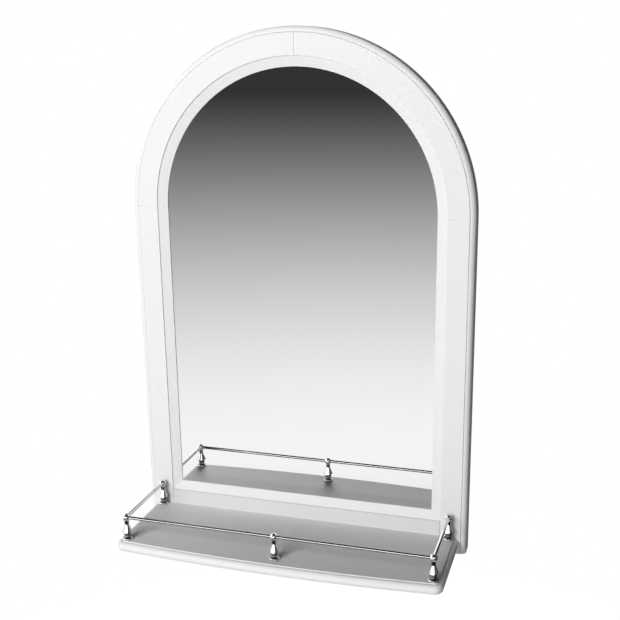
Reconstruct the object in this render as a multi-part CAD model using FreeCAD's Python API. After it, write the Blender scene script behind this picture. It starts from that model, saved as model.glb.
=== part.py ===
# Arched mirror with a bow-fronted shelf and a chromed gallery rail, as separate pieces.
# Millimetres. X runs to the viewer's right, Y towards the wall, Z up.
# The wall is the plane Y = 0, and Z = 0 is the height of the two hanging holes.
import FreeCAD, Part
import math
import os

Vector = FreeCAD.Vector

# Frame
frame_width = 600.0
frame_height = 892.0
frame_thickness = 30.0
member_width = 63.0
rail_height = 76.0

# Frame moulding: a stepped bevel round the glass, then outside a quirk groove and a round edge
bevel_width = 17.2
bevel_step = 1.6
bevel_depth = 6.6
edge_width = 10.0
edge_step = 0.9
edge_drop = 6.6
quirk_width = 1.1
quirk_depth = 2.3
groove_depth = 1.3

# Glass and back panel in the rear rebates
lip_thickness = 1.2
glass_lap = 8.0
glass_thickness = 4.0
glass_clearance = 1.0
panel_lap = 11.0
panel_thickness = 3.0
panel_clearance = 0.5

# Shelf
shelf_width = 576.0
shelf_depth = 176.5
shelf_bow = 12.0
shelf_thickness = 19.0
shelf_quirk = 1.9
shelf_corner_radius = 6.0
shelf_top_height = 31.0

# Gallery posts and rods
post_side_inset = 17.5
post_front_inset = 26.2
post_wall_gap = 0.3
ball_height = 41.5
ball_diameter = 13.0
base_diameter = 17.6
base_thickness = 4.4
collar_diameter = 10.8
bead_diameter = 12.6
bell_diameter = 17.2
neck_diameter = 6.8
crown_diameter = 9
rod_diameter = 5.5
rod_end_gap = 0.3
socket_wall = 0.6

# Keyhole hangers
hanger_length = 56.0
hanger_width = 18.0
hanger_thickness = 2.0
hanger_end_margin = 7.0
hanger_joint_gap = 6.0
entry_diameter = 10.0
slot_width = 5.0
keyhole_rise = 11.0
head_pocket_depth = 10.0
head_pocket_margin = 1.5

# Dowels and screws
dowel_diameter = 8.0
dowel_length = 40.0
dowel_end_gap = 1.0
shelf_screw_diameter = 5.0
shelf_screw_head = 10.0
shelf_screw_bite = 30.0
post_screw_diameter = 4.0
post_screw_head = 8.0
post_screw_bite = 9.0
hanger_screw_diameter = 3.5
hanger_screw_head = 7.0
hanger_screw_bite = 14.0
panel_screw_diameter = 3.0
panel_screw_head = 5.6
panel_screw_head_height = 1.8
panel_screw_bite = 6.5
head_sink = 0.2

# Clearances and the overrun of every cut
fit_clearance = 0.1
hole_clearance = 0.25
mortise_clearance = 0.2
overrun = 5.0

# Places along a joint, a seat or a span, as shares of its length
dowel_band_shares = (0.27, 0.73)
rail_dowel_shares = (0.25, 0.75)
shelf_dowel_shares = (-0.64, 0.0, 0.64)
shelf_screw_shares = (-0.95, -0.32, 0.32, 0.95)
shelf_dowel_seat_share = 0.375
panel_screw_arch_shares = (0.25, 0.75)
panel_screw_stile_shares = (0.2, 0.75)
panel_screw_rail_shares = (-0.5, 0.5)

# Heights of a post's turnings, as shares of the height of the ball's centre
collar_foot_share = 0.13
bead_foot_share = 0.195
bead_top_share = 0.29
bell_foot_share = 0.335
bell_widest_share = 0.37
neck_foot_share = 0.7
neck_middle_share = 0.78
# The neck's radius at its middle, as a share of the way from its foot to the ball
neck_middle_radius_share = 0.3

quarter_turn = 90.0
full_turn = 360.0
along_x = Vector(1, 0, 0)
along_y = Vector(0, 1, 0)
along_z = Vector(0, 0, 1)

# Radii of the arch, which are also the half widths of the straight part
outer_radius = frame_width / 2
quirk_radius = outer_radius - edge_width
sight_radius = outer_radius - member_width
bevel_radius = sight_radius + bevel_width
glass_radius = sight_radius + glass_lap
glass_pocket_radius = glass_radius + glass_clearance
panel_pocket_radius = glass_pocket_radius + panel_lap
panel_radius = panel_pocket_radius - panel_clearance
seat_radius = (glass_pocket_radius + panel_pocket_radius) / 2
band_width = outer_radius - panel_pocket_radius

# Planes across the thickness
face_y = -frame_thickness
glass_front_y = face_y + bevel_depth + lip_thickness
glass_back_y = glass_front_y + glass_thickness
panel_back_y = glass_back_y + panel_thickness
dowel_y = face_y / 2

# Hangers, and the heights that follow from the hanging holes
entry_radius = entry_diameter / 2
hanger_middle_z = keyhole_rise / 2
hanger_top_z = hanger_middle_z + hanger_length / 2
hanger_foot_z = hanger_middle_z - hanger_length / 2
hanger_x = outer_radius - band_width / 2
dowel_hole_length = dowel_length + 2 * dowel_end_gap
spring_z = hanger_top_z + hanger_joint_gap + dowel_hole_length / 2
foot_z = spring_z + outer_radius - frame_height
sight_z = foot_z + rail_height
bevel_foot_z = sight_z - bevel_width
glass_foot_z = sight_z - glass_lap
glass_pocket_foot_z = glass_foot_z - glass_clearance
panel_pocket_foot_z = glass_pocket_foot_z - panel_lap
panel_foot_z = panel_pocket_foot_z + panel_clearance
seat_foot_z = (glass_pocket_foot_z + panel_pocket_foot_z) / 2

# Shelf, with its half-round nose and the spine that the nose follows
shelf_top_z = foot_z + shelf_top_height
shelf_foot_z = shelf_top_z - shelf_thickness
shelf_middle_z = (shelf_top_z + shelf_foot_z) / 2
nose_radius = (shelf_thickness - shelf_quirk) / 2
nose_z = shelf_foot_z + nose_radius
shelf_front_y = face_y - shelf_depth
half_shelf = shelf_width / 2
bow_radius = (half_shelf ** 2 + shelf_bow ** 2) / (2 * shelf_bow)
bow_centre_y = shelf_front_y + bow_radius
spine_x = half_shelf - nose_radius
spine_bow_radius = bow_radius - nose_radius
corner_x = spine_x - shelf_corner_radius
corner_reach = spine_bow_radius - shelf_corner_radius
corner_y = bow_centre_y - math.sqrt(corner_reach ** 2 - corner_x ** 2)
bow_half_angle = math.degrees(math.asin(corner_x / corner_reach))
shelf_fixing_span = bevel_radius - dowel_hole_length / 2 - shelf_screw_head

# Gallery
post_x = half_shelf - post_side_inset
front_post_y = shelf_front_y + post_front_inset
back_post_y = face_y - base_diameter / 2 - post_wall_gap
ball_z = shelf_top_z + ball_height
rod_radius = rod_diameter / 2
socket_radius = rod_radius + fit_clearance
socket_start = socket_radius + socket_wall
rod_start = socket_start + rod_end_gap


# Basic solids

def prism(points, sweep):
    """A flat outline through the points, closed and swept along a vector."""
    return Part.Face(Part.makePolygon(list(points) + [points[0]])).extrude(sweep)


def arched_prism(radius, low_z, front_y, back_y):
    """A slab with a round top on the arch's centre and a straight foot."""
    right = Vector(radius, front_y, spring_z)
    crown = Vector(0, front_y, spring_z + radius)
    left = Vector(-radius, front_y, spring_z)
    low_left = Vector(-radius, front_y, low_z)
    low_right = Vector(radius, front_y, low_z)
    edges = [
        Part.Arc(right, crown, left).toShape(),
        Part.makeLine(left, low_left),
        Part.makeLine(low_left, low_right),
        Part.makeLine(low_right, right),
    ]
    return Part.Face(Part.Wire(edges)).extrude(along_y * (back_y - front_y))


def stadium(width, low_z, high_z, x, front_y, back_y):
    """An upright slab with round ends, as a router leaves it."""
    radius = width / 2
    low = low_z + radius
    high = high_z - radius
    corners = [Vector(x - radius, front_y, low), Vector(x + radius, front_y, low)]
    tops = [Vector(x + radius, front_y, high), Vector(x - radius, front_y, high)]
    edges = [
        Part.Arc(corners[0], Vector(x, front_y, low_z), corners[1]).toShape(),
        Part.makeLine(corners[1], tops[0]),
        Part.Arc(tops[0], Vector(x, front_y, high_z), tops[1]).toShape(),
        Part.makeLine(tops[1], corners[0]),
    ]
    return Part.Face(Part.Wire(edges)).extrude(along_y * (back_y - front_y))


def rod_between(start, end, radius):
    """A round bar from one point to another."""
    return Part.makeCylinder(radius, (end - start).Length, start, end - start)


def centred_bar(centre, direction, length, radius):
    """A round bar of a length about its middle."""
    return Part.makeCylinder(radius, length, centre - direction * (length / 2), direction)


def mirrored(shape):
    """The same piece on the other side of the centre line."""
    return shape.mirror(Vector(0, 0, 0), along_x)


def both_sides(points):
    """Each point and its twin on the other side of the centre line."""
    return [Vector(side * p.x, p.y, p.z) for p in points for side in (-1, 1)]


# Screws and dowels

def countersunk_screw(top, direction, diameter, head_diameter, length, extra=0):
    """A screw whose flat head lies at top, pointing along direction.

    extra widens and lengthens it into the hole that takes it.
    """
    radius = diameter / 2 + extra
    head_radius = head_diameter / 2 + extra
    shank = Part.makeCylinder(radius, length + extra, top, direction)
    head = Part.makeCone(head_radius, radius, head_radius - radius, top, direction)
    return shank.fuse(head).removeSplitter()


def sunk_hole(mouth, direction, diameter, head_diameter, length, extra):
    """A countersunk hole whose mouth is open past the surface."""
    top = mouth + direction * head_sink
    hole = countersunk_screw(top, direction, diameter, head_diameter, length, extra)
    mouth_radius = head_diameter / 2 + extra
    opening = Part.makeCylinder(mouth_radius, head_sink + overrun, mouth - direction * overrun, direction)
    return hole.fuse(opening)


def sunk_screw(mouth, direction, diameter, head_diameter, length):
    """The screw in such a hole, its head just below the surface."""
    return countersunk_screw(mouth + direction * head_sink, direction, diameter, head_diameter, length)


def pan_screw(seat, direction):
    """A panel screw with its round head on the seat."""
    shank = Part.makeCylinder(panel_screw_diameter / 2, panel_thickness + panel_screw_bite, seat, direction)
    head = Part.makeCylinder(panel_screw_head / 2, panel_screw_head_height, seat, -direction)
    return shank.fuse(head).removeSplitter()


def dowel(centre, direction):
    return centred_bar(centre, direction, dowel_length, dowel_diameter / 2)


def dowel_hole(centre, direction):
    return centred_bar(centre, direction, dowel_hole_length, dowel_diameter / 2 + fit_clearance)


# Places of the hidden fixings

def frame_dowel_places():
    """Centres and directions of the dowels in the crown, spring and rail joints."""
    band = [panel_pocket_radius + share * band_width for share in dowel_band_shares]
    rail_band = panel_pocket_foot_z - foot_z
    rail_heights = [foot_z + share * rail_band for share in rail_dowel_shares]
    crown = [Vector(0, dowel_y, spring_z + radius) for radius in band]
    spring = both_sides([Vector(radius, dowel_y, spring_z) for radius in band])
    rail = both_sides([Vector(bevel_radius, dowel_y, height) for height in rail_heights])
    return (
        [(place, along_x) for place in crown]
        + [(place, along_z) for place in spring]
        + [(place, along_x) for place in rail]
    )


def shelf_dowel_places():
    """Centres of the dowels between the rail and the shelf's back edge."""
    centre_y = face_y + (shelf_dowel_seat_share * dowel_length - dowel_length / 2)
    return [Vector(share * shelf_fixing_span, centre_y, shelf_middle_z) for share in shelf_dowel_shares]


def shelf_screw_mouths():
    return [Vector(share * shelf_fixing_span, 0, shelf_middle_z) for share in shelf_screw_shares]


def panel_screw_seats():
    """Places on the back of the panel, over the middle of its seat."""
    on_arch = []
    for share in panel_screw_arch_shares:
        angle = math.radians(share * quarter_turn)
        x = seat_radius * math.cos(angle)
        z = spring_z + seat_radius * math.sin(angle)
        on_arch.append(Vector(x, panel_back_y, z))
    stile_run = sight_z - spring_z
    stile_heights = [spring_z + share * stile_run for share in panel_screw_stile_shares]
    on_stiles = [Vector(seat_radius, panel_back_y, height) for height in stile_heights]
    on_rail = [Vector(share * seat_radius, panel_back_y, seat_foot_z) for share in panel_screw_rail_shares]
    return both_sides(on_arch + on_stiles) + on_rail


def hanger_screw_mouths(x):
    low = Vector(x, 0, hanger_foot_z + hanger_end_margin)
    high = Vector(x, 0, hanger_top_z - hanger_end_margin)
    return [low, high]


def post_places():
    """Each post's name and the middle of its foot on the shelf."""
    return {
        "front_left_post": Vector(-post_x, front_post_y, shelf_top_z),
        "front_middle_post": Vector(0, front_post_y, shelf_top_z),
        "front_right_post": Vector(post_x, front_post_y, shelf_top_z),
        "back_left_post": Vector(-post_x, back_post_y, shelf_top_z),
        "back_right_post": Vector(post_x, back_post_y, shelf_top_z),
    }


shelf_screw_length = frame_thickness + shelf_screw_bite
post_screw_length = shelf_thickness + post_screw_bite
hanger_screw_length = hanger_thickness + hanger_screw_bite


# Frame

def moulding_section():
    """The frame's section at the spring line, on the right, without its rebates."""
    bevel_in = Vector(sight_radius, face_y + bevel_depth, spring_z)
    bevel_out = Vector(bevel_radius, face_y + bevel_step, spring_z)
    face_in = Vector(bevel_radius, face_y, spring_z)
    face_out = Vector(quirk_radius, face_y, spring_z)
    quirk_foot = Vector(quirk_radius + quirk_width / 2, face_y + quirk_depth, spring_z)
    edge_start = Vector(quirk_radius + quirk_width, face_y + edge_step, spring_z)
    round_width = outer_radius - edge_start.x
    edge_radius = (round_width ** 2 + edge_drop ** 2) / (2 * edge_drop)
    half_turn = math.atan2(round_width, edge_radius - edge_drop) / 2
    middle_x = edge_start.x + edge_radius * math.sin(half_turn)
    middle_y = edge_start.y + edge_radius * (1 - math.cos(half_turn))
    round_middle = Vector(middle_x, middle_y, spring_z)
    side_front = Vector(outer_radius, edge_start.y + edge_drop, spring_z)
    side_back = Vector(outer_radius, 0, spring_z)
    sight_back = Vector(sight_radius, 0, spring_z)
    straight = [bevel_in, bevel_out, face_in, face_out, quirk_foot, edge_start]
    rest = [side_front, side_back, sight_back, bevel_in]
    edges = [Part.makeLine(a, b) for a, b in zip(straight, straight[1:])]
    edges.append(Part.Arc(edge_start, round_middle, side_front).toShape())
    edges += [Part.makeLine(a, b) for a, b in zip(rest, rest[1:])]
    return Part.Face(Part.Wire(edges))


def groove(start, end, across):
    """A V cutter along a joint line on the face, with sides at 45 degrees."""
    mouth = along_y * -overrun
    half = across * (overrun + groove_depth)
    point = along_y * groove_depth
    return prism([start + mouth - half, start + mouth + half, start + point], end - start)


def joint_grooves():
    """V grooves across the flat face at the crown, spring and rail joints."""
    crown_in = Vector(0, face_y, spring_z + bevel_radius)
    crown_out = Vector(0, face_y, spring_z + quirk_radius)
    cutters = [groove(crown_in, crown_out, along_x)]
    for side in (-1, 1):
        spring_in = Vector(side * bevel_radius, face_y, spring_z)
        spring_out = Vector(side * quirk_radius, face_y, spring_z)
        rail_top = Vector(side * bevel_radius, face_y, bevel_foot_z)
        rail_foot = Vector(side * bevel_radius, face_y, foot_z - overrun)
        cutters.append(groove(spring_in, spring_out, along_z))
        cutters.append(groove(rail_top, rail_foot, along_x))
    return cutters


def rail_region(low_z):
    """What belongs to the bottom rail: mitred along the bevel, upright below it."""
    front = face_y - overrun
    outline = [
        Vector(-sight_radius, front, sight_z),
        Vector(sight_radius, front, sight_z),
        Vector(bevel_radius, front, bevel_foot_z),
        Vector(bevel_radius, front, low_z),
        Vector(-bevel_radius, front, low_z),
        Vector(-bevel_radius, front, bevel_foot_z),
    ]
    return prism(outline, along_y * (frame_thickness + 2 * overrun))


def rear_rebates():
    """The glass pocket behind the lip and the wider panel pocket behind it."""
    glass_pocket = arched_prism(glass_pocket_radius, glass_pocket_foot_z, glass_front_y, overrun)
    panel_pocket = arched_prism(panel_pocket_radius, panel_pocket_foot_z, glass_back_y, overrun)
    return [glass_pocket, panel_pocket]


def panel_pilots():
    """Pilot holes for the panel screws, in the seat behind the panel."""
    radius = panel_screw_diameter / 2 + fit_clearance
    depth = panel_thickness + panel_screw_bite + fit_clearance
    return [Part.makeCylinder(radius, depth, seat, -along_y) for seat in panel_screw_seats()]


def hanger_recess(x):
    """The mortise for a hanger plate, the pocket for the screw head and the plate's pilot holes."""
    mortise = stadium(
        hanger_width + 2 * mortise_clearance,
        hanger_foot_z - mortise_clearance,
        hanger_top_z + mortise_clearance,
        x, -hanger_thickness, overrun,
    )
    pocket_radius = entry_radius + head_pocket_margin
    pocket = stadium(
        2 * pocket_radius, -pocket_radius, keyhole_rise + pocket_radius,
        x, -hanger_thickness - head_pocket_depth, overrun,
    )
    radius = hanger_screw_diameter / 2 + fit_clearance
    depth = hanger_screw_length + head_sink + fit_clearance
    pilots = [Part.makeCylinder(radius, depth, mouth, -along_y) for mouth in hanger_screw_mouths(x)]
    return [mortise, pocket] + pilots


def shelf_fixing_holes():
    """Holes for the shelf's screws, wide in the rail, and for its dowels."""
    holes = [dowel_hole(place, along_y) for place in shelf_dowel_places()]
    for mouth in shelf_screw_mouths():
        holes.append(
            sunk_hole(
                mouth, -along_y, shelf_screw_diameter, shelf_screw_head,
                shelf_screw_length, fit_clearance,
            )
        )
    return holes


def build_frame():
    """The five moulded pieces, cut from the same section and the same rebates."""
    section = moulding_section()
    arch_centre = Vector(0, 0, spring_z)
    right_arch = section.revolve(arch_centre, -along_y, quarter_turn)
    right_stile = section.extrude(along_z * (foot_z - spring_z)).cut(rail_region(foot_z - overrun))
    rail_outline = [
        Vector(-bevel_radius, face_y + bevel_depth, sight_z),
        Vector(-bevel_radius, face_y + bevel_step, bevel_foot_z),
        Vector(-bevel_radius, face_y, bevel_foot_z),
        Vector(-bevel_radius, face_y, foot_z),
        Vector(-bevel_radius, 0, foot_z),
        Vector(-bevel_radius, 0, sight_z),
    ]
    rail = prism(rail_outline, along_x * (2 * bevel_radius)).common(rail_region(foot_z))
    shared_cuts = rear_rebates() + joint_grooves() + panel_pilots()
    shared_cuts += [dowel_hole(place, direction) for place, direction in frame_dowel_places()]
    arch = right_arch.cut(shared_cuts)
    stile = right_stile.cut(shared_cuts + hanger_recess(hanger_x))
    return {
        "left_arch": mirrored(arch),
        "right_arch": arch,
        "left_stile": mirrored(stile),
        "right_stile": stile,
        "bottom_rail": rail.cut(shared_cuts + shelf_fixing_holes()),
    }


def build_glazing():
    """The silvered pane and the panel that holds it, screwed to its seat."""
    panel = arched_prism(panel_radius, panel_foot_z, glass_back_y, panel_back_y)
    hole_radius = panel_screw_diameter / 2 + hole_clearance
    holes = [
        Part.makeCylinder(hole_radius, panel_thickness + 2 * overrun, seat + along_y * overrun, -along_y)
        for seat in panel_screw_seats()
    ]
    return {
        "mirror_glass": arched_prism(glass_radius, glass_foot_z, glass_front_y, glass_back_y),
        "back_panel": panel.cut(holes),
        "panel_screws": Part.makeCompound([pan_screw(seat, -along_y) for seat in panel_screw_seats()]),
    }


# Shelf

def nose_section(spine_point, outward):
    """The half-round nose where the spine passes a point, facing outward."""
    low = spine_point - along_z * nose_radius
    high = spine_point + along_z * nose_radius
    arc = Part.Arc(low, spine_point + outward * nose_radius, high).toShape()
    return Part.Face(Part.Wire([arc, Part.makeLine(high, low)]))


def shelf_nose():
    """The nose along the right side, round the corners and along the bowed front."""
    back = Vector(spine_x, face_y, nose_z)
    corner_start = Vector(spine_x, corner_y, nose_z)
    corner_centre = Vector(corner_x, corner_y, nose_z)
    bow_centre = Vector(0, bow_centre_y, nose_z)
    towards_bow = (corner_centre - bow_centre).normalize()
    bow_start = corner_centre + towards_bow * shelf_corner_radius
    corner_angle = quarter_turn - bow_half_angle
    side = nose_section(back, along_x).extrude(corner_start - back)
    corner = nose_section(corner_start, along_x).revolve(corner_centre, -along_z, corner_angle)
    front = nose_section(bow_start, towards_bow).revolve(bow_centre, -along_z, 2 * bow_half_angle)
    return [side, corner, mirrored(side), mirrored(corner), front]


def shelf_core():
    """The flat-topped middle of the shelf, as far as the spine of its nose."""
    def at(x, y):
        return Vector(x, y, shelf_foot_z)
    turn = math.radians(bow_half_angle)
    bow_x = spine_bow_radius * math.sin(turn)
    bow_y = bow_centre_y - spine_bow_radius * math.cos(turn)
    half_turn = (math.radians(quarter_turn) - turn) / 2
    middle_x = corner_x + shelf_corner_radius * math.cos(half_turn)
    middle_y = corner_y - shelf_corner_radius * math.sin(half_turn)
    edges = [
        Part.makeLine(at(-spine_x, face_y), at(spine_x, face_y)),
        Part.makeLine(at(spine_x, face_y), at(spine_x, corner_y)),
        Part.Arc(at(spine_x, corner_y), at(middle_x, middle_y), at(bow_x, bow_y)).toShape(),
        Part.Arc(at(bow_x, bow_y), at(0, bow_centre_y - spine_bow_radius), at(-bow_x, bow_y)).toShape(),
        Part.Arc(at(-bow_x, bow_y), at(-middle_x, middle_y), at(-spine_x, corner_y)).toShape(),
        Part.makeLine(at(-spine_x, corner_y), at(-spine_x, face_y)),
    ]
    return Part.Face(Part.Wire(edges)).extrude(along_z * shelf_thickness)


def post_screw_mouths():
    return [Vector(foot.x, foot.y, shelf_foot_z) for foot in post_places().values()]


def build_shelf():
    """The shelf with its fixing holes, and what fixes it to the rail."""
    blank = shelf_core().multiFuse(shelf_nose()).removeSplitter()
    post_holes = [
        sunk_hole(mouth, along_z, post_screw_diameter, post_screw_head, post_screw_length, fit_clearance)
        for mouth in post_screw_mouths()
    ]
    screws = [
        sunk_screw(mouth, -along_y, shelf_screw_diameter, shelf_screw_head, shelf_screw_length)
        for mouth in shelf_screw_mouths()
    ]
    return {
        "shelf": blank.cut(shelf_fixing_holes() + post_holes),
        "shelf_screws": Part.makeCompound(screws),
        "shelf_dowels": Part.makeCompound([dowel(place, along_y) for place in shelf_dowel_places()]),
    }


# Gallery

def turned_post():
    """A baluster turned about Z: base, beaded collar, conical bell, coved neck and ball."""
    def line(start, end):
        return Part.makeLine(Vector(start[0], 0, start[1]), Vector(end[0], 0, end[1]))

    def arc(start, middle, end):
        points = [Vector(radius, 0, height) for radius, height in (start, middle, end)]
        return Part.Arc(*points).toShape()

    base_radius = base_diameter / 2
    collar_radius = collar_diameter / 2
    bead_radius = bead_diameter / 2
    bell_radius = bell_diameter / 2
    neck_radius = neck_diameter / 2
    crown_radius = crown_diameter / 2
    ball_radius = ball_diameter / 2
    collar_foot = collar_foot_share * ball_height
    bead_foot = bead_foot_share * ball_height
    bead_top = bead_top_share * ball_height
    bead_middle = (bead_foot + bead_top) / 2
    bell_foot = bell_foot_share * ball_height
    bell_widest = bell_widest_share * ball_height
    neck_foot = neck_foot_share * ball_height
    neck_middle = neck_middle_share * ball_height
    round_radius = base_thickness / 2
    cove_radius = neck_radius + neck_middle_radius_share * (crown_radius - neck_radius)
    ball_foot = ball_height - math.sqrt(ball_radius ** 2 - crown_radius ** 2)
    base_in = base_radius - round_radius
    top = ball_height + ball_radius
    edges = [
        line((0, 0), (base_in, 0)),
        arc((base_in, 0), (base_radius, round_radius), (base_in, base_thickness)),
        line((base_in, base_thickness), (collar_radius, collar_foot)),
        line((collar_radius, collar_foot), (collar_radius, bead_foot)),
        arc((collar_radius, bead_foot), (bead_radius, bead_middle), (collar_radius, bead_top)),
        line((collar_radius, bead_top), (collar_radius, bell_foot)),
        line((collar_radius, bell_foot), (bell_radius, bell_widest)),
        line((bell_radius, bell_widest), (neck_radius, neck_foot)),
        arc((neck_radius, neck_foot), (cove_radius, neck_middle), (crown_radius, ball_foot)),
        arc((crown_radius, ball_foot), (ball_radius, ball_height), (0, top)),
        line((0, top), (0, 0)),
    ]
    return Part.Face(Part.Wire(edges)).revolve(Vector(0, 0, 0), along_z, full_turn)


def socket(ball, direction):
    """A blind hole in a ball for the end of a rod."""
    return Part.makeCylinder(socket_radius, ball_diameter, ball + direction * socket_start, direction)


def through_socket(ball):
    """The middle ball's hole, which the front rod runs through."""
    return centred_bar(ball, along_x, 2 * ball_diameter, socket_radius)


def build_gallery():
    """Five posts, three rods, and the screws that come up through the shelf."""
    rise = along_z * ball_height
    places = post_places()
    balls = {name: foot + rise for name, foot in places.items()}
    front_left = balls["front_left_post"]
    front_right = balls["front_right_post"]
    sockets = {
        "front_left_post": [socket(front_left, along_x), socket(front_left, along_y)],
        "front_middle_post": [through_socket(balls["front_middle_post"])],
        "front_right_post": [socket(front_right, -along_x), socket(front_right, along_y)],
        "back_left_post": [socket(balls["back_left_post"], -along_y)],
        "back_right_post": [socket(balls["back_right_post"], -along_y)],
    }
    pieces = {}
    blank = turned_post()
    for name, foot in places.items():
        pilot_radius = post_screw_diameter / 2 + fit_clearance
        pilot = Part.makeCylinder(pilot_radius, post_screw_bite + head_sink + fit_clearance, foot, along_z)
        pieces[name] = blank.translated(foot).cut(sockets[name] + [pilot])
    inward = along_x * rod_start
    pieces["front_rod"] = rod_between(front_left + inward, front_right - inward, rod_radius)
    for side in ("left", "right"):
        front = balls["front_" + side + "_post"] + along_y * rod_start
        back = balls["back_" + side + "_post"] - along_y * rod_start
        pieces[side + "_side_rod"] = rod_between(front, back, rod_radius)
    screws = [
        sunk_screw(mouth, along_z, post_screw_diameter, post_screw_head, post_screw_length)
        for mouth in post_screw_mouths()
    ]
    pieces["post_screws"] = Part.makeCompound(screws)
    return pieces


# Hangers

def hanger_plate(x):
    """A keyhole plate, flush with the back of the stile."""
    plate = stadium(hanger_width, hanger_foot_z, hanger_top_z, x, -hanger_thickness, 0)
    through = hanger_thickness + 2 * overrun
    entry = Part.makeCylinder(entry_radius, through, Vector(x, overrun, 0), -along_y)
    slot_end = slot_width / 2
    slot = stadium(slot_width, -slot_end, keyhole_rise + slot_end, x, -hanger_thickness - overrun, overrun)
    holes = [
        sunk_hole(mouth, -along_y, hanger_screw_diameter, hanger_screw_head, hanger_screw_length, fit_clearance)
        for mouth in hanger_screw_mouths(x)
    ]
    return plate.cut([entry, slot] + holes)


def build_hangers():
    mouths = hanger_screw_mouths(-hanger_x) + hanger_screw_mouths(hanger_x)
    screws = [
        sunk_screw(mouth, -along_y, hanger_screw_diameter, hanger_screw_head, hanger_screw_length)
        for mouth in mouths
    ]
    return {
        "left_hanger": hanger_plate(-hanger_x),
        "right_hanger": hanger_plate(hanger_x),
        "hanger_screws": Part.makeCompound(screws),
    }


def build_dowels():
    dowels = [dowel(place, direction) for place, direction in frame_dowel_places()]
    return {"frame_dowels": Part.makeCompound(dowels)}


# Write one file per piece, or per group of like fasteners
os.makedirs("parts", exist_ok=True)
for build in (build_frame, build_glazing, build_shelf, build_gallery, build_hangers, build_dowels):
    for node, shape in build().items():
        shape.exportStep("parts/" + node + ".step")
        print(node, len(shape.Solids), "solids", round(shape.Volume), "mm3", shape.isValid())
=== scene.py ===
"""Looks of an arched mirror with a bow-fronted shelf and a chromed gallery rail.

Metres, in the part's own frame: X to the viewer's right, Y towards the wall, Z up.
Z = 0 is the height of the two hanging holes, and Y = 0 is the wall.
"""
import math

import bpy
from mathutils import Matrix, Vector


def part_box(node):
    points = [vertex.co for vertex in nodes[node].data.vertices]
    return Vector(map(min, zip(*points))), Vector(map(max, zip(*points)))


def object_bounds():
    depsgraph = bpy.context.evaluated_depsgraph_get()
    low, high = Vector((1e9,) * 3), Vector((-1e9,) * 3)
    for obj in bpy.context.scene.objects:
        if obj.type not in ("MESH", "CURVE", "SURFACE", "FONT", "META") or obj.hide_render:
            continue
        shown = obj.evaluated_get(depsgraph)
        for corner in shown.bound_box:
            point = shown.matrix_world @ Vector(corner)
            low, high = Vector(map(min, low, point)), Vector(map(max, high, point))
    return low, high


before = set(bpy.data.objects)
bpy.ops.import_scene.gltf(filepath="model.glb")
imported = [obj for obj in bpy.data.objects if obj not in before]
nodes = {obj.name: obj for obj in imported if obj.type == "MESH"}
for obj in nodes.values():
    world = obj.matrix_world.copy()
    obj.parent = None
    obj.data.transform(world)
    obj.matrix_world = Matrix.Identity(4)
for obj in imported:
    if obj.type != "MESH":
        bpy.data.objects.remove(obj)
cad_low, cad_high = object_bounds()

# Camera: the place, turn and lens that give the photograph's perspective
camera_place = Vector((0.5114, -1.5508, 0.3291))
camera_pitch = -0.2709
camera_yaw = 0.2581
camera_lens = 56.22
camera_shift_x = -0.0815
camera_shift_y = 0.0078

# Floor, which fades to plain white away from the part
hanging_height = 1.55
floor_radius = 9.0
floor_sides = 96
floor_clear_radius = 0.8
floor_fade_radius = 1.7
floor_glow = 0.82
floor_white = 0.74

# Even light on the paint from all round
ambient_level = 0.06

# Lamps: a key in front, above and to the left, and one behind; azimuths from straight ahead to the right
key_azimuth = math.radians(-19)
key_elevation = math.radians(22)
key_distance = 4.0
key_size = 2.6
key_power = 166.0
back_azimuth = math.pi
back_elevation = 0.0
back_distance = 3.0
back_size = 1.6
back_power = 62.0

# What shines in the mirror and the chrome: azimuths from straight ahead to the left, heights as sines
dark_level = 0.033
floor_level = 0.94
floor_fade_rise = 0.40
floor_dark_rise = 0.62
floor_azimuths = (math.radians(-20), math.radians(85))
underfoot_rises = (-1.2, -0.9)
softbox_level = 4.5
softbox_azimuths = (math.radians(-25), math.radians(130))
softbox_rises = (0.2, 0.27)
left_panel_level = 1.1
left_panel_azimuths = (math.radians(52), math.radians(130))
left_panel_rises = (-0.5, 0.8)
right_fill_level = 0.14
right_fill_azimuths = (math.radians(-120), math.radians(-35))
right_fill_rises = (-0.4, 0.6)
window_level = 1.9
window_azimuths = (math.radians(-42), math.radians(-26))
window_rises = (0.36, 0.55)
panel_softness = 0.14

# A ray's count of diffuse bounces is below this until its first one
before_scattering = 0.5

# Most of a noise lies between these values
noise_spread = (0.3, 0.7)

# Paint: its two tones, its roughness, and its gloss, where 0.5 is a hard lacquer
enamel_tones = ((0.874, 0.876, 0.878), (0.88, 0.88, 0.879))
enamel_roughness = (0.27, 0.3)
enamel_gloss = 0.22
orange_peel_strength = 0.02
orange_peel_depth = 0.0002

# Dust on what faces up, with painted shade in its colour that darkens it to the right and, by a share, to
# the front
lighter_dust_and_shade_colour = (0.80, 0.80, 0.796)
darker_dust_and_shade_colour = (0.58, 0.58, 0.576)
shade_forward_share = 1.5
shade_reach = (-0.07, 0.555)
dust_roughness = 0.42
dust_gloss = 0.02
dust_and_shade_rises = (0.85, 0.98)
dust_and_shade_cover_shares = (0.85, 1)

# The bottom rail's painted shade: a darker strip between the shelf and the step at the bevel's foot, and a
# painted shadow line in the step's corner
shaded_rail_colour = (0.78, 0.78, 0.778)
corner_shadow_colour = (0.62, 0.62, 0.615)
bevel_width = 0.0172
step_edge = 0.0006

# Glass: silver under the faintest haze, drawn out upright by wiping
silver_tones = ((0.945, 0.955, 0.95), (0.965, 0.968, 0.966))
wiping_stretch = (1, 1, 0.35)
haze_spread = (0.45, 0.8)
haze_roughness = (0.0, 0.012)
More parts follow.
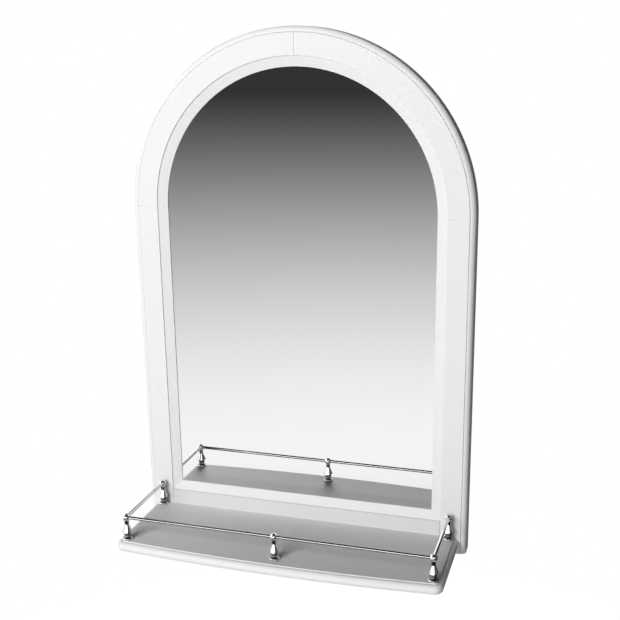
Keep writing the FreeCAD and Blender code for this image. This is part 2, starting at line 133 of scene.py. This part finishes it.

# Chrome, bright, and dark where a dark reflection is painted
chrome_colour = (0.68, 0.685, 0.69)
painted_dark_reflection_colour = (0.12, 0.122, 0.125)
chrome_roughness = (0.06, 0.12)
chrome_polish_spread = (0.35, 0.75)
painted_reflection_spread = (0.2, 0.8)
painted_reflection_shares = (1, 0.85)

# Heights above the shelf of the hollows in a turned post, where a dark reflection is painted
chrome_hollows = ((0.0045, 0.0065), (0.0098, 0.0150), (0.029, 0.0345))
chrome_hollow_softness = 0.0012

# Rise of the normal between which the front rod keeps its shine; above and below it a dark reflection is
# painted, fading over this soft edge
chrome_shiny_rises = (-0.02, 0.64)
painted_reflection_softness = 0.1

# Zinc: its tones, and how much of it shines as bare metal through its dull bloom
zinc_tones = ((0.52, 0.54, 0.57), (0.70, 0.71, 0.71))
zinc_metal_share = 0.55
zinc_roughness = (0.28, 0.46)
zinc_grain_strength = 0.1
zinc_grain_depth = 0.0001

# Hardboard: long fibres upright, and blotches
hardboard_tones = ((0.16, 0.095, 0.05), (0.36, 0.235, 0.14))
fibre_stretch = (1, 1, 0.25)
fibre_share = 0.7
blotch_share = 0.3
mottle_spread = (0.32, 0.68)
hardboard_roughness = (0.62, 0.82)
fibre_strength = 0.25
fibre_depth = 0.0003

# Beech: flecks along X
beech_tones = ((0.42, 0.26, 0.14), (0.72, 0.53, 0.35))
fleck_stretch = (0.1, 1, 1)
beech_roughness = (0.55, 0.7)
fleck_strength = 0.2
fleck_depth = 0.0002


# Node helpers

def add_node(tree, kind, **values):
    """A node with its properties set by name, or its inputs where the name is an input's."""
    node = tree.nodes.new(kind)
    for name, value in values.items():
        if name in node.inputs:
            node.inputs[name].default_value = value
        else:
            setattr(node, name, value)
    return node


def feed(tree, socket, value):
    """Link a socket into an input, or set a number or a colour on it."""
    if isinstance(value, bpy.types.NodeSocket):
        tree.links.new(value, socket)
    elif isinstance(value, tuple):
        socket.default_value = (*value, 1)
    else:
        socket.default_value = value


def math_node(tree, operation, first, second):
    """A Math node on two sockets or numbers."""
    node = add_node(tree, "ShaderNodeMath", operation=operation)
    for socket, value in zip(node.inputs, (first, second)):
        feed(tree, socket, value)
    return node.outputs["Value"]


def ramp(tree, value, from_range, to_range, smooth=False):
    """A Map Range node, which clamps to its range."""
    node = add_node(tree, "ShaderNodeMapRange")
    node.interpolation_type = "SMOOTHSTEP" if smooth else "LINEAR"
    feed(tree, node.inputs["Value"], value)
    node.inputs["From Min"].default_value, node.inputs["From Max"].default_value = from_range
    node.inputs["To Min"].default_value, node.inputs["To Max"].default_value = to_range
    return node.outputs["Result"]


def blend_values(tree, factor, first, second):
    """first where factor is 0 and second where it is 1."""
    node = add_node(tree, "ShaderNodeMix", data_type="FLOAT")
    for name, value in (("Factor", factor), ("A", first), ("B", second)):
        feed(tree, node.inputs[name], value)
    return node.outputs["Result"]


def mix_colours(tree, factor, first, second):
    """first where factor is 0 and second where it is 1, as colours or sockets."""
    node = add_node(tree, "ShaderNodeMix", data_type="RGBA")
    feed(tree, node.inputs["Factor"], factor)
    colours = [socket for socket in node.inputs if socket.type == "RGBA"]
    for socket, value in zip(colours, (first, second)):
        feed(tree, socket, value)
    return next(socket for socket in node.outputs if socket.type == "RGBA")


def mix_shaders(tree, factor, first, second):
    """first where factor is 0 and second where it is 1."""
    node = add_node(tree, "ShaderNodeMixShader")
    for socket, value in zip(node.inputs, (factor, first, second)):
        feed(tree, socket, value)
    return node.outputs["Shader"]


def between(tree, value, limits, softness):
    """1 between two limits, fading to 0 outside them."""
    low, high = limits
    rising = ramp(tree, value, (low - softness, low), (0, 1), smooth=True)
    falling = ramp(tree, value, (high, high + softness), (1, 0), smooth=True)
    return math_node(tree, "MULTIPLY", rising, falling)


def split_vector(tree, vector):
    """The X, Y and Z of a vector."""
    node = add_node(tree, "ShaderNodeSeparateXYZ")
    feed(tree, node.inputs["Vector"], vector)
    return node.outputs


def normal_rise(tree):
    """The Z of the surface's normal."""
    normal = add_node(tree, "ShaderNodeNewGeometry").outputs["Normal"]
    return split_vector(tree, normal)["Z"]


def mirrored_ray(tree, path):
    """1 for a ray that comes from a shiny or clear surface."""
    return math_node(tree, "MAXIMUM", path.outputs["Is Glossy Ray"], path.outputs["Is Transmission Ray"])


def new_material(name):
    """A material, its tree and its Principled shader."""
    material = bpy.data.materials.new(name)
    material.use_nodes = True
    tree = material.node_tree
    shader = tree.nodes["Principled BSDF"]
    return material, tree, shader


def object_coordinates(tree, stretch=(1, 1, 1)):
    """The part's own coordinates, stretched along an axis for a grain."""
    place = add_node(tree, "ShaderNodeTexCoord").outputs["Object"]
    mapping = add_node(tree, "ShaderNodeMapping", Scale=stretch)
    feed(tree, mapping.inputs["Vector"], place)
    return mapping.outputs["Vector"]


def noise(tree, place, scale, detail=2.0, roughness=0.5):
    """A noise from 0 to 1, scale in features per metre."""
    node = add_node(tree, "ShaderNodeTexNoise", Scale=scale, Detail=detail, Roughness=roughness)
    feed(tree, node.inputs["Vector"], place)
    return node.outputs["Fac"]


def bump(tree, shader, height, strength, distance):
    """Relief on the shader's normal, distance deep where height is 1."""
    node = add_node(tree, "ShaderNodeBump", Strength=strength, Distance=distance)
    feed(tree, node.inputs["Height"], height)
    feed(tree, shader.inputs["Normal"], node.outputs["Normal"])


# Materials

def paint_rail_shade(tree, spot, facing_up, colour):
    """The paint's colour with painted shade on the rail's strip above the shelf and a painted shadow line
    in the corner at the step's foot over it.
    """
    rail_low, rail_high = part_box("bottom_rail")
    shelf_top, step_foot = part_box("shelf")[1].z, rail_high.z - bevel_width
    within_rail = between(tree, spot["X"], (rail_low.x, rail_high.x), step_edge)
    upright = math_node(tree, "SUBTRACT", 1, facing_up)
    on_rail = math_node(tree, "MULTIPLY", within_rail, upright)
    strip = between(tree, spot["Z"], (shelf_top, step_foot), step_edge)
    corner = between(tree, spot["Z"], (step_foot - step_edge, step_foot), step_edge)
    # Painted shade on the rail's strip, then a painted shadow line in the corner at the step's foot
    shaded = mix_colours(tree, math_node(tree, "MULTIPLY", on_rail, strip), colour, shaded_rail_colour)
    return mix_colours(tree, math_node(tree, "MULTIPLY", on_rail, corner), shaded, corner_shadow_colour)


def white_enamel():
    """Sprayed satin enamel: faint orange peel, a tone that drifts, a film of dust on what faces up with
    painted shade that darkens it to the right and front, and painted shade on the bottom rail.
    """
    material, tree, shader = new_material("white_enamel")
    place = object_coordinates(tree)
    spot = split_vector(tree, place)
    drift = ramp(tree, noise(tree, place, scale=7, detail=3), noise_spread, (0, 1))
    paint = mix_colours(tree, drift, *enamel_tones)
    facing_up = ramp(tree, normal_rise(tree), dust_and_shade_rises, (0, 1), smooth=True)
    settled = noise(tree, place, scale=60, detail=5, roughness=0.6)
    dust_and_shade = math_node(tree, "MULTIPLY", facing_up, ramp(tree, settled, noise_spread, dust_and_shade_cover_shares))
    # Painted shade: the dust's colour darkens towards the right and the front
    forward = math_node(tree, "MULTIPLY", spot["Y"], shade_forward_share)
    along_shelf = math_node(tree, "SUBTRACT", spot["X"], forward)
    painted_shade_share = ramp(tree, along_shelf, shade_reach, (0, 1))
    dust_and_shade_colour = mix_colours(tree, painted_shade_share, lighter_dust_and_shade_colour, darker_dust_and_shade_colour)
    paint_with_dust_and_shade = mix_colours(tree, dust_and_shade, paint, dust_and_shade_colour)
    feed(tree, shader.inputs["Base Color"], paint_rail_shade(tree, spot, facing_up, paint_with_dust_and_shade))
    sheen = ramp(tree, noise(tree, place, scale=9), noise_spread, enamel_roughness)
    feed(tree, shader.inputs["Roughness"], blend_values(tree, dust_and_shade, sheen, dust_roughness))
    feed(tree, shader.inputs["Specular IOR Level"], blend_values(tree, dust_and_shade, enamel_gloss, dust_gloss))
    bump(tree, shader, noise(tree, place, scale=420), orange_peel_strength, orange_peel_depth)
    return material


def silvered_glass():
    """Silvered float glass, with the faintest haze from wiping."""
    material, tree, shader = new_material("silvered_glass")
    shader.inputs["Metallic"].default_value = 1
    haze = noise(tree, object_coordinates(tree, wiping_stretch), scale=14, detail=4)
    feed(tree, shader.inputs["Base Color"], mix_colours(tree, haze, *silver_tones))
    feed(tree, shader.inputs["Roughness"], ramp(tree, haze, haze_spread, haze_roughness))
    return material


def chrome_plate(name="chrome_plate", dark_top_and_bottom=False):
    """Polished chrome, with a painted dark reflection in the hollows of the turnings and, where asked, on
    tops and undersides.
    """
    material, tree, shader = new_material(name)
    shader.inputs["Metallic"].default_value = 1
    place = object_coordinates(tree)
    polish = noise(tree, place, scale=180, detail=3)
    shelf_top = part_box("shelf")[1].z
    above_shelf = math_node(tree, "SUBTRACT", split_vector(tree, place)["Z"], shelf_top)
    painted_dark_reflection = 0
    # Painted dark reflection in the hollows of the turnings
    for limits in chrome_hollows:
        painted_dark_reflection = math_node(tree, "MAXIMUM", painted_dark_reflection, between(tree, above_shelf, limits, chrome_hollow_softness))
    # Painted dark reflection on the rod's top and underside
    if dark_top_and_bottom:
        shiny = between(tree, normal_rise(tree), chrome_shiny_rises, painted_reflection_softness)
        painted_dark_reflection = math_node(tree, "MAXIMUM", painted_dark_reflection, math_node(tree, "SUBTRACT", 1, shiny))
    shade = math_node(tree, "MULTIPLY", painted_dark_reflection, ramp(tree, polish, painted_reflection_spread, painted_reflection_shares))
    feed(tree, shader.inputs["Base Color"], mix_colours(tree, shade, chrome_colour, painted_dark_reflection_colour))
    feed(tree, shader.inputs["Roughness"], ramp(tree, polish, chrome_polish_spread, chrome_roughness))
    return material


def zinc_plate():
    """Zinc-plated steel with a dull, cloudy surface."""
    material, tree, shader = new_material("zinc_plate")
    shader.inputs["Metallic"].default_value = zinc_metal_share
    place = object_coordinates(tree)
    cloud = noise(tree, place, scale=260, detail=4)
    feed(tree, shader.inputs["Base Color"], mix_colours(tree, cloud, *zinc_tones))
    feed(tree, shader.inputs["Roughness"], ramp(tree, cloud, noise_spread, zinc_roughness))
    bump(tree, shader, noise(tree, place, scale=900), zinc_grain_strength, zinc_grain_depth)
    return material


def hardboard():
    """Brown pressed fibre, smooth on this side, flecked with longer fibres."""
    material, tree, shader = new_material("hardboard")
    fibre = noise(tree, object_coordinates(tree, fibre_stretch), scale=900, detail=5, roughness=0.7)
    blotch = noise(tree, object_coordinates(tree), scale=22, detail=3)
    fibre_part = math_node(tree, "MULTIPLY", fibre, fibre_share)
    blotch_part = math_node(tree, "MULTIPLY", blotch, blotch_share)
    mottle = ramp(tree, math_node(tree, "ADD", fibre_part, blotch_part), mottle_spread, (0, 1))
    feed(tree, shader.inputs["Base Color"], mix_colours(tree, mottle, *hardboard_tones))
    feed(tree, shader.inputs["Roughness"], ramp(tree, fibre, noise_spread, hardboard_roughness))
    bump(tree, shader, fibre, fibre_strength, fibre_depth)
    return material


def beech():
    """Pale beech with short darker flecks along the grain."""
    material, tree, shader = new_material("beech")
    fleck = noise(tree, object_coordinates(tree, fleck_stretch), scale=1200, detail=4)
    feed(tree, shader.inputs["Base Color"], mix_colours(tree, fleck, *beech_tones))
    feed(tree, shader.inputs["Roughness"], ramp(tree, fleck, noise_spread, beech_roughness))
    bump(tree, shader, fleck, fleck_strength, fleck_depth)
    return material


def dress_nodes():
    """Give each CAD node the finish named like the material that it came with, and paint a dark reflection
    on the front rod's top and underside.
    """
    packed_names = {name: node.material_slots[0].material.name for name, node in nodes.items()}
    for finish in (white_enamel, silvered_glass, chrome_plate, zinc_plate, hardboard, beech):
        finish_name = finish.__name__
        bpy.data.materials[finish_name].name = "packed_" + finish_name
        material = finish()
        for name, packed_name in packed_names.items():
            if packed_name == finish_name:
                nodes[name].material_slots[0].material = material
    # The front rod gets a painted dark reflection on its top and underside
    nodes["front_rod"].material_slots[0].material = chrome_plate("chrome_painted_dark_top_and_bottom", dark_top_and_bottom=True)


# Studio: camera, lamps, world, floor

def build_camera():
    """A camera with the photograph's perspective."""
    data = bpy.data.cameras.new("camera")
    data.lens = camera_lens
    data.shift_x = camera_shift_x
    data.shift_y = camera_shift_y
    camera = bpy.data.objects.new("camera", data)
    camera.location = camera_place
    camera.rotation_euler = (math.pi / 2 + camera_pitch, 0, camera_yaw)
    bpy.context.scene.collection.objects.link(camera)
    bpy.context.scene.camera = camera


def build_lamp(name, azimuth, elevation, distance, size, power):
    """A square lamp aimed at the object, from an azimuth to the right of straight ahead."""
    data = bpy.data.lights.new(name, "AREA")
    data.size = size
    data.energy = power
    light = bpy.data.objects.new(name, data)
    centre = (cad_low + cad_high) / 2
    towards = Vector((
        math.sin(azimuth) * math.cos(elevation),
        -math.cos(azimuth) * math.cos(elevation),
        math.sin(elevation),
    ))
    light.location = centre + towards * distance
    light.rotation_euler = towards.to_track_quat("Z", "Y").to_euler()
    light.visible_camera = False
    light.visible_glossy = False
    bpy.context.scene.collection.objects.link(light)


def reflected_room(tree):
    """The room that the mirror and the chrome see: a dark one with a lit floor and bright panels."""
    direction = split_vector(tree, add_node(tree, "ShaderNodeTexCoord").outputs["Generated"])
    rise = direction["Z"]
    left = math_node(tree, "MULTIPLY", direction["X"], -1)
    ahead = math_node(tree, "MULTIPLY", direction["Y"], -1)
    azimuth = math_node(tree, "ARCTAN2", left, ahead)
    rising = ramp(tree, rise, (0, -floor_fade_rise), (0, 1), smooth=True)
    falling = ramp(tree, rise, (-floor_fade_rise, -floor_dark_rise), (1, 0), smooth=True)
    across = between(tree, azimuth, floor_azimuths, panel_softness)
    lit_floor = math_node(tree, "MULTIPLY", math_node(tree, "MINIMUM", rising, falling), across)
    lit_floor = math_node(tree, "MULTIPLY", lit_floor, floor_level)
    underfoot = between(tree, rise, underfoot_rises, panel_softness)
    room = math_node(tree, "MAXIMUM", math_node(tree, "MAXIMUM", lit_floor, underfoot), dark_level)
    panels = (
        (softbox_level, softbox_azimuths, softbox_rises),
        (left_panel_level, left_panel_azimuths, left_panel_rises),
        (right_fill_level, right_fill_azimuths, right_fill_rises),
        (window_level, window_azimuths, window_rises),
    )
    for level, azimuths, rises in panels:
        across = between(tree, azimuth, azimuths, panel_softness)
        upright = between(tree, rise, rises, panel_softness)
        shine = math_node(tree, "MULTIPLY", math_node(tree, "MULTIPLY", across, upright), level)
        room = math_node(tree, "MAXIMUM", room, shine)
    return room


def build_world():
    """White to the eye, dim to the paint, and a room in the dark to whatever reflects."""
    world = bpy.data.worlds.new("studio")
    bpy.context.scene.world = world
    world.use_nodes = True
    tree = world.node_tree
    background = tree.nodes["Background"]
    background.inputs["Color"].default_value = (1, 1, 1, 1)
    path = add_node(tree, "ShaderNodeLightPath")
    unscattered = math_node(tree, "LESS_THAN", path.outputs["Diffuse Depth"], before_scattering)
    mirrored = math_node(tree, "MULTIPLY", mirrored_ray(tree, path), unscattered)
    level = blend_values(tree, mirrored, ambient_level, reflected_room(tree))
    level = blend_values(tree, path.outputs["Is Camera Ray"], level, 1)
    feed(tree, background.inputs["Strength"], level)


def build_floor():
    """A pale floor below the mirror, lit near the part, white far off, and clear to reflections."""
    bpy.ops.mesh.primitive_circle_add(vertices=floor_sides, radius=floor_radius, fill_type="NGON")
    floor = bpy.context.object
    floor.name = "floor"
    floor.location.z = -hanging_height
    material, tree, shader = new_material("floor")
    shader.inputs["Base Color"].default_value = (floor_white, floor_white, floor_white, 1)
    shader.inputs["Roughness"].default_value = 1
    shader.inputs["Specular IOR Level"].default_value = 0
    path = add_node(tree, "ShaderNodeLightPath")
    reach = add_node(tree, "ShaderNodeVectorMath", operation="LENGTH")
    feed(tree, reach.inputs[0], add_node(tree, "ShaderNodeTexCoord").outputs["Object"])
    far = ramp(tree, reach.outputs["Value"], (floor_clear_radius, floor_fade_radius), (0, 1), smooth=True)
    glow = add_node(tree, "ShaderNodeEmission")
    feed(tree, glow.inputs["Strength"], blend_values(tree, far, floor_glow, 1))
    near_floor = add_node(tree, "ShaderNodeAddShader")
    feed(tree, near_floor.inputs[0], glow.outputs["Emission"])
    feed(tree, near_floor.inputs[1], shader.outputs["BSDF"])
    faded = mix_shaders(tree, far, near_floor.outputs["Shader"], glow.outputs["Emission"])
    seen = mix_shaders(tree, path.outputs["Is Camera Ray"], shader.outputs["BSDF"], faded)
    clear = add_node(tree, "ShaderNodeBsdfTransparent")
    shown = mix_shaders(tree, mirrored_ray(tree, path), seen, clear.outputs["BSDF"])
    feed(tree, tree.nodes["Material Output"].inputs["Surface"], shown)
    floor.data.materials.append(material)


dress_nodes()
build_camera()
build_lamp("key", key_azimuth, key_elevation, key_distance, key_size, key_power)
build_lamp("behind", back_azimuth, back_elevation, back_distance, back_size, back_power)
build_world()
build_floor()
bpy.context.scene.view_settings.view_transform = "Standard"
